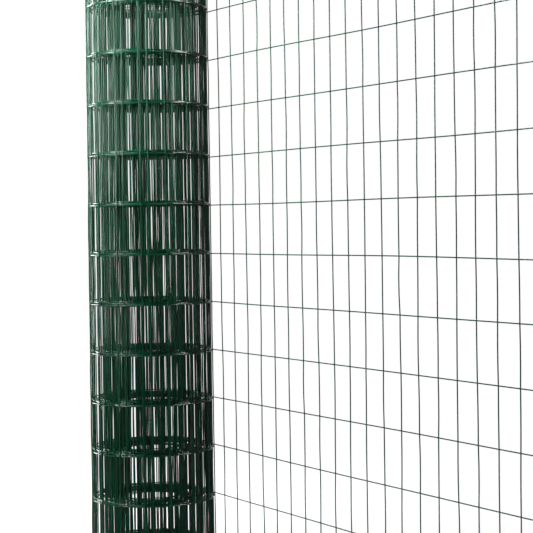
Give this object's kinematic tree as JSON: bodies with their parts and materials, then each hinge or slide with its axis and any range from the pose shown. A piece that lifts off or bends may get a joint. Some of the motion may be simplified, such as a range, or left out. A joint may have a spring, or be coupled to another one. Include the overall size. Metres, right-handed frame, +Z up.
{
  "type": "roll of welded wire fencing",
  "caption": "Roll of green coated welded wire mesh standing on its end, with its last stretch unrolled flat from the back of the roll.",
  "frame": {"origin": "on the roll's axis at the level of its bottom end", "axes": "+Z up the roll's axis; +X along the unrolled end, which leaves the roll on its +Y side"},
  "size_m": [1.2006, 0.2572, 1.206],
  "materials": {
    "green_coating": "smooth green plastic coating over steel wire, satin gloss"
  },
  "bodies": {
    "root": {"wound_roll": "green_coating", "free_end": "green_coating"}
  },
  "joints": []
}
